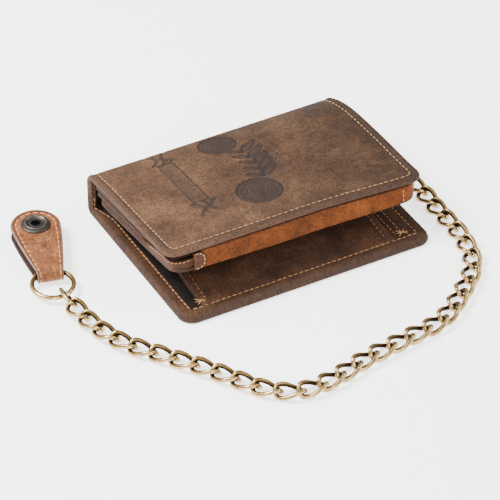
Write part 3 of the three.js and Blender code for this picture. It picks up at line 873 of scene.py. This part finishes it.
def makeCoinBox():
    bottom = -shell["coverThickness"] - 0.3 - coin["height"]
    side = right - coin["side"]
    front = -coverDepth + coin["front"]
    bm = bmesh.new()
    floorLook = {"u": (-side, side), "v": (front + 0.3, -coin["spineGap"]), "thickness": coin["floor"],
                 "corner": coin["corner"], "free": ("left", "right", "near", "far"), "step": 4, "seed": 41,
                 "rimWidth": 4, "steps": [4, 4.6, 5.2]}

    def sag(x, y):
        return coin["sag"] * math.cos(math.pi * x / (2 * side)) * ease((-y - 20) / 55)

    def placeFloor(u, v, h):
        return underCover(u, v, bottom + coin["floor"] - h - sag(u, v))

    def floorRim(u, v, depth, isTop):
        into = u + side
        return -1.1 * ease((coin["floorRim"] - into) / 1.2) * ease(into / 1.2) if isTop else 0

    addPanel(bm, floorLook, placeFloor, floorRim)
    turn = math.pi / 2
    straight = side * 2 - coin["corner"] - coin["tabStart"]
    wallPath = {"start": (-side + coin["tabStart"], front), "heading": 0, "hand": -1,
                "runs": [(straight, 0), (coin["corner"] * turn, turn), (1, 0)]}
    wallLook = {"u": (0, coin["height"] - 0.6), "v": (0, straight + coin["corner"] * turn + coin["back"] - 7),
                "thickness": coin["wall"], "corner": 3.6, "free": ("left", "right", "near"), "step": 2.5,
                "seed": 44, "rimWidth": 1.4,
                "marksV": spread([straight, straight + coin["corner"] * turn], 1)}

    def placeWall(u, v, h):
        belly = 0.5 * math.sin(math.pi * u / coin["height"]) * ease(v / 20)
        x, y = followPath(wallPath, v, h - belly)
        return underCover(x, y, bottom + 0.1 + u - sag(x, y) * (1 - u / coin["height"]))

    gussetPath = {"start": (-side, front + coin["back"]), "heading": -turn, "hand": -1,
                  "runs": [(coin["back"] - coin["corner"], 0), (coin["corner"] * turn, turn), (1, 0)]}
    gussetRun = coin["back"] - coin["corner"] + coin["corner"] * turn
    gussetLook = {"u": (0, coin["gussetTop"]), "v": (0, gussetRun + coin["gussetEnd"] - 7),
                  "thickness": coin["gusset"], "free": ("left", "right"), "step": 2.2, "seed": 47,
                  "rimWidth": 1.6,
                  "marksV": spread([coin["back"] - coin["corner"], gussetRun], 1)}

    def placeGusset(u, v, h):
        lean = 0.06 * u + (0.9 if v > gussetRun else 0.9 * ease((v - gussetRun + 8) / 8))
        drop = 1.4 * ease((14 - v) / 14) * u / coin["gussetTop"]
        x, y = followPath(gussetPath, v, h + lean)
        return underCover(x, y, bottom + 0.2 + u - drop)

    addPanel(bm, gussetLook, placeGusset)
    tabStart, tabEnd, tabThickness = coin["tab"]
    tabLook = {"u": (0.2, coin["height"] - 0.8), "v": (tabStart, tabEnd), "thickness": tabThickness,
               "corner": 3.4, "free": ("left", "right", "far"), "step": 1.2, "seed": 48, "rimWidth": 1}

    def placeEndTab(u, v, h):
        return placeWall(u, v, h - 0.7)

    addPanel(bm, tabLook, placeEndTab)
    finishPiece(bm, "coin_base_leather", leather["pocket"], "coin_box", ["coin_tray"])
    bm = bmesh.new()
    addPanel(bm, wallLook, placeWall)
    half, near, far = coin["tongue"]
    tongueLook = {"u": (-half, half), "v": (front + near, front + far), "thickness": 1,
                  "free": ("left", "right", "far"), "corner": 3, "seed": 49}
    tongueTop = -shell["coverThickness"] - coin["tongueDrop"]
    addPanel(bm, tongueLook, lambda u, v, h: underCover(u, v, tongueTop - h))
    finishPiece(bm, "coin_wall_leather", leather["coin"], "coin_box")
    bm = bmesh.new()
    high = coin["height"]
    rounded = [(0.9, -0.6), (0.9, 1.6), (1.7, 3.2), (3.2, 3.9), (high - 3.9, 3.9), (high - 2.3, 3.2),
               (high - 1.5, 1.6), (high - 1.5, -0.6)]
    sew(bm, rounded, placeEndTab, 51, 1.9, 0.26)
    rim = coin["gussetTop"] - 0.8
    sew(bm, [(rim, 3), (rim, gussetRun + 8)], placeGusset, 52, 2, 0.24)
    sew(bm, [(1, straight - 1), (high - 1.6, straight - 1)], placeWall, 53, 2.1, 0.28)
    sew(bm, [(-side + 2.4, -8), (-side + 2.4, front + 26)], placeFloor, 54, 2.6, 0.3, h=-0.95)
    finishPiece(bm, "coin_box_stitches", thread["cream"], "coin_box")


makeCoinBox()
print("coin box made")


# Metal rings and links

def markOxideAndShade(bm, inward):
    oxideAndShade = bm.verts.layers.float.get("oxideAndShade") or bm.verts.layers.float.new("oxideAndShade")
    for vert in bm.verts:
        vert[oxideAndShade] = inward(vert)


def torus(bm, radius, wire, steps, sides, gap=0):
    bmesh.ops.create_circle(bm, segments=sides, radius=wire, cap_ends=gap > 0)
    bmesh.ops.rotate(bm, verts=bm.verts, matrix=Matrix.Rotation(math.pi / 2, 3, "X"))
    bmesh.ops.translate(bm, vec=(radius, 0, 0), verts=bm.verts)
    if gap:
        bmesh.ops.rotate(bm, verts=bm.verts, matrix=Matrix.Rotation(gap / 2, 3, "Z"))
    bmesh.ops.spin(bm, geom=bm.verts[:] + bm.edges[:] + bm.faces[:], cent=(0, 0, 0), axis=(0, 0, 1),
                   angle=math.tau - gap, steps=steps, use_merge=gap == 0, use_duplicate=False)
    bmesh.ops.remove_doubles(bm, verts=bm.verts, dist=1e-4)


chain = {"wire": 2.2, "width": 9.6, "length": 14.76, "twist": -45, "untwist": 3, "blunt": 1.6,
         "steps": 44, "sides": 14}
connector = {"wire": 2.0, "width": 9.0, "length": 12.9, "twist": 7.5, "roll": 52.5, "heading": 92}


def linkMesh(look):
    halfSpan = (look["length"] - look["wire"]) / 2
    halfWidth = (look["width"] - look["wire"]) / 2
    straight = halfSpan - halfWidth
    bm = bmesh.new()
    torus(bm, halfWidth, look["wire"] / 2, chain["steps"], chain["sides"])
    oxideAndShade = bm.verts.layers.float.new("oxideAndShade")
    for vert in bm.verts:
        x, y, z = vert.co
        reach = math.hypot(x, y)
        inside = (halfWidth - reach) / (look["wire"] / 2)
        # Darker on the inner side of the wire, partly oxide and partly painted shade, and darker underneath
        # and lighter on top as painted shade and highlight
        vert[oxideAndShade] = max(0.0, inside * 0.6 + 0.2 - 0.14 * z)
        ends = min(1, max(-1, chain["blunt"] * x / reach))
        x += straight * ends
        turned = math.radians(look["twist"]) * min(1, max(-1, x / halfSpan))
        cosine, sine = math.cos(turned), math.sin(turned)
        vert.co = (x, y * cosine - z * sine, y * sine + z * cosine)
    return bm


def middleOf(node):
    points = {tuple(round(c, 7) for c in vert.co) for vert in frame["nodes"][node].data.vertices}
    return Vector([sum(point[i] for point in points) / len(points) for i in range(3)]) / mm


def standAlong(middle, direction, roll):
    side = Vector((-direction.y, direction.x, 0)).normalized()
    along = direction.normalized()
    turn = Matrix((along, side, along.cross(side))).transposed()
    return Matrix.Translation(middle) @ turn.to_4x4() @ Matrix.Rotation(roll, 4, "X")


def makeChain():
    middles = [middleOf(name) for name in links]
    for i, name in enumerate(links):
        direction = middles[min(i + 1, len(links) - 1)] - middles[max(i - 1, 0)]
        roll = -math.radians(chain["twist"]) * max(0, 1 - i / chain["untwist"])
        bm = linkMesh(chain)
        bmesh.ops.transform(bm, matrix=standAlong(middles[i], direction, roll), verts=bm.verts)
        finishPiece(bm, name + "_wire", metal["brass"], name, [name])
    bm = linkMesh(connector)
    heading = math.radians(connector["heading"])
    place = standAlong(middleOf("fob_connector"), Vector((math.cos(heading), math.sin(heading), 0)),
                       math.radians(connector["roll"]))
    bmesh.ops.transform(bm, matrix=place, verts=bm.verts)
    finishPiece(bm, "fob_connector_wire", metal["brass"], "fob_connector", ["fob_connector"])


rings = {  # radius, wire radius, gap in radians, turn of the gap
    "chain_ring": (6, 1, 0.05, 150),
    "fob_ring": (9.15, 1.1, 0.035, -68),
}


def makeRings():
    for name, (radius, wire, gap, turn) in rings.items():
        low, high = boxOf(name)
        middle = middleOf(name)
        bm = bmesh.new()
        torus(bm, radius, wire, 72, 14, gap)
        # Darker on the inner side of the wire, partly oxide and partly painted shade, and darker underneath
        # and lighter on top as painted shade and highlight
        markOxideAndShade(bm, lambda vert: max(0.0, (radius - math.hypot(vert.co.x, vert.co.y)) / wire * 0.35
                                        + 0.12 - 0.1 * vert.co.z))
        bmesh.ops.rotate(bm, verts=bm.verts, matrix=Matrix.Rotation(math.radians(turn), 3, "Z"))
        slope = math.asin(max(0, (high.z - low.z) / 2 - wire) / radius)
        strap = middleOf("fob_strap") - middle
        axis = Vector((-strap.y, strap.x, 0)).normalized()
        if name == "fob_ring":
            bmesh.ops.rotate(bm, verts=bm.verts, matrix=Matrix.Rotation(-slope, 3, axis))
        bmesh.ops.translate(bm, vec=middle, verts=bm.verts)
        finishPiece(bm, name + "_wire", metal["brass"], name, [name])


makeChain()
makeRings()
print("chain and rings made")


# Chain tab: a narrow strap folded round the chain ring, its upper leaf shorter than its lower one

tab = {"leaf": 1.2, "shorter": 10.5}


def makeTab():
    low, high = boxOf("chain_tab")
    radius = (high.z - low.z) / 2
    path = {"start": (low.x, low.z), "heading": 0, "hand": -1,
            "runs": [(high.x - low.x - radius, 0), (math.pi * radius, math.pi), (1, 0)]}
    total = (high.x - low.x) * 2 - radius * 2 + math.pi * radius - tab["shorter"]
    look = {"u": (low.y, high.y), "v": (0, total), "thickness": tab["leaf"], "corner": 1, "step": 1.6,
            "free": ("left", "right", "near", "far"), "rimWidth": 1.5, "seed": 55,
            "marksV": spread([high.x - low.x - radius, high.x - low.x - radius + math.pi * radius], 0.8)}

    def placeTab(u, v, h):
        x, z = followPath(path, v, h)
        return Vector((x, u, z))

    leatherPiece("chain_tab_leather", "shell", look, placeTab, "back", ["chain_tab"])


makeTab()

# Belt fob: a teardrop strap folded round its ring, with a gap that a belt slips into

fob = {"heading": 75.5, "leaf": 1.4, "gap": 4.1, "length": 46, "width": 22.5, "neck": 11.5, "foldEnd": 6.3,
       "floor": 0.7, "stitch": 2.3, "straightness": 0.55, "crown": 0.35, "gapShade": 0.9, "seamStart": 2.5,
       "seamSteps": 24, "pitch": 3.4, "threadRadius": 0.3, "blend": (-3, 4)}


def makeFob():
    heading = math.radians(fob["heading"])
    along = Vector((math.cos(heading), math.sin(heading), 0))
    across = Vector((-along.y, along.x, 0))
    origin = Vector(joints["fob_flap_open"]["pos_m"]) / mm - along * fob["foldEnd"]
    origin.z = 0
    outer = fob["leaf"] + fob["gap"] / 2
    half, neck = fob["width"] / 2, fob["neck"] / 2
    top = fob["floor"] + 2 * outer
    snapAt = fob["length"] - half

    def widthAt(x):
        share = min(1, max(0, (x - outer * 0.5) / (snapAt - outer * 0.5)))
        even = fob["straightness"]
        return (neck + (half - neck) * (even * share + (1 - even) * math.sin(share * math.pi / 2))) / half

    def toWorld(x, y, z):
        return origin + along * x + across * y + Vector((0, 0, z))

    foldRun = math.pi * outer
    foldPath = {"start": (outer, fob["floor"]), "heading": math.pi, "hand": 1,
                "runs": [(foldRun, -math.pi), (1, 0)]}

    def placeUpper(u, v, h):
        x, z = followPath(foldPath, v, h)
        crown = fob["crown"] * ease((v - foldRun) / 10) * (1 - (u / half) ** 2)
        return toWorld(x, u * widthAt(x), z + crown * (0.6 if v > foldRun else 0))

    def placeLower(u, v, h):
        return toWorld(v, u * widthAt(v), fob["floor"] + fob["leaf"] - h)

    upperEnd = foldRun + fob["length"] - outer
    upper = {"u": (-half, half), "v": (0, upperEnd), "thickness": fob["leaf"], "corner": half - 0.01,
             "free": ("left", "right", "far"), "step": 1.5, "stitch": [fob["stitch"]], "rimWidth": 1.8,
             "seed": 61, "marksV": spread([0, foldRun], 0.6)}
    lower = dict(upper, v=(outer, fob["length"]), seed=65, marksV=[], stitch=(), pressDepth=0)
    piece = leatherPiece("fob_upper_leather", "fob", upper, placeUpper, None, ["fob_flap"])
    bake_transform(piece)
    leatherPiece("fob_lower_leather", "fob", lower, placeLower, "fob", ["fob_strap"],
                 press=lambda u, v: fob["gapShade"])  # painted shade on the lower leaf's face in the belt gap under the upper leaf
    reach = half - fob["stitch"]
    line = [(-reach, fob["seamStart"])]
    for i in range(fob["seamSteps"] + 1):
        angle = -math.pi / 2 + math.pi * i / fob["seamSteps"]
        line.append((reach * math.sin(angle), upperEnd - half + reach * math.cos(angle)))
    line.append((reach, fob["seamStart"]))
    bm = bmesh.new()
    sew(bm, line, placeUpper, 71, fob["pitch"], fob["threadRadius"])
    piece = finishPiece(bm, "fob_stitches", thread["orange"])
    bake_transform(piece)
    makeSnap(toWorld(snapAt, 0, 0), top + 0.3)


# The press stud, each part turned from its half section

def turn(bm, profile, centre, steps=64):
    marks = [bm.verts.new((r, 0, z)) for r, z in profile]
    edges = [bm.edges.new(pair) for pair in zip(marks, marks[1:])]
    bmesh.ops.spin(bm, geom=marks + edges, cent=(0, 0, 0), axis=(0, 0, 1), angle=math.tau, steps=steps,
                   use_merge=True, use_duplicate=False)
    bmesh.ops.remove_doubles(bm, verts=bm.verts, dist=1e-4)
    bmesh.ops.translate(bm, vec=centre, verts=bm.verts)


snap = {"cap": 6.6, "rim": 4.8, "eye": 1.95, "body": 4.8, "post": 1.5, "base": 0.6}


# Painted shade: black in the eye of the cap. Bright on the raised ring, dull elsewhere
def snapShadeAndTone(reach):
    if reach < snap["eye"] + 0.1:
        return 1.0
    return 0.05 if abs(reach - snap["rim"] + 0.1) < 0.35 else 0.35


def makeSnap(centre, top):
    cap, rim, eye, body, post, base = (snap[key] for key in ("cap", "rim", "eye", "body", "post", "base"))
    capLine = [(0, -0.8), (0.6, -0.8), (post, -0.7), (post, 0), (cap - 0.2, 0), (cap, 0.15), (cap, 0.4),
               (cap - 0.3, 0.72), (cap - 0.8, 0.9), (rim + 0.45, 1.0), (rim + 0.3, 1.3), (rim + 0.1, 1.5),
               (rim - 0.15, 1.55), (rim - 0.4, 1.45), (rim - 0.6, 1.15), (rim - 1.1, 0.82), (eye + 1, 0.75),
               (eye + 0.5, 0.95), (eye + 0.2, 0.95), (eye, 0.75), (eye - 0.15, 0.45), (0, 0.4)]
    baseLine = [(0, 0), (body - 0.3, 0), (body, 0.2), (body - 0.2, base), (post, base), (post, 2), (0, 2)]
    studLine = [(0, 2.2), (body - 0.2, 2.2), (body, 2.4), (body - 0.3, 3.1), (2.6, 3.2), (1.8, 3.3),
                (1.75, 3.6), (2, 3.9), (1.8, 4.3), (1.4, 4.4), (0, 4.4)]
    socketLine = [(0, 6.1), (0, 5.7), (2.2, 5.7), (2.3, 5.2), (2.15, 4.8), (2.4, 4.2), (body - 0.3, 4.1),
                  (body, 4.4), (body - 0.1, 5.9), (body - 0.4, 6.1), (0, 6.1)]
    flat = Vector((centre.x, centre.y, 0))
    parts = [("fob_snap_cap", capLine, flat + Vector((0, 0, top)), "fob_flap"),
             ("fob_snap_base", baseLine, flat, "fob"), ("fob_snap_stud", studLine, flat, "fob"),
             ("fob_snap_socket", socketLine, flat, "fob_flap")]
    for name, line, place, body in parts:
        bm = bmesh.new()
        turn(bm, line, place)
        markOxideAndShade(bm, lambda vert: snapShadeAndTone((vert.co - place).to_2d().length))
        finishPiece(bm, name + "_metal", metal["gunmetal"], body, [name], crease=35)


makeFob()
for name in ("coin_snap_socket", "coin_snap_stud"):
    frame["nodes"][name].data.materials.clear()
    frame["nodes"][name].data.materials.append(metal["gunmetal"])
print("fob and snaps made")
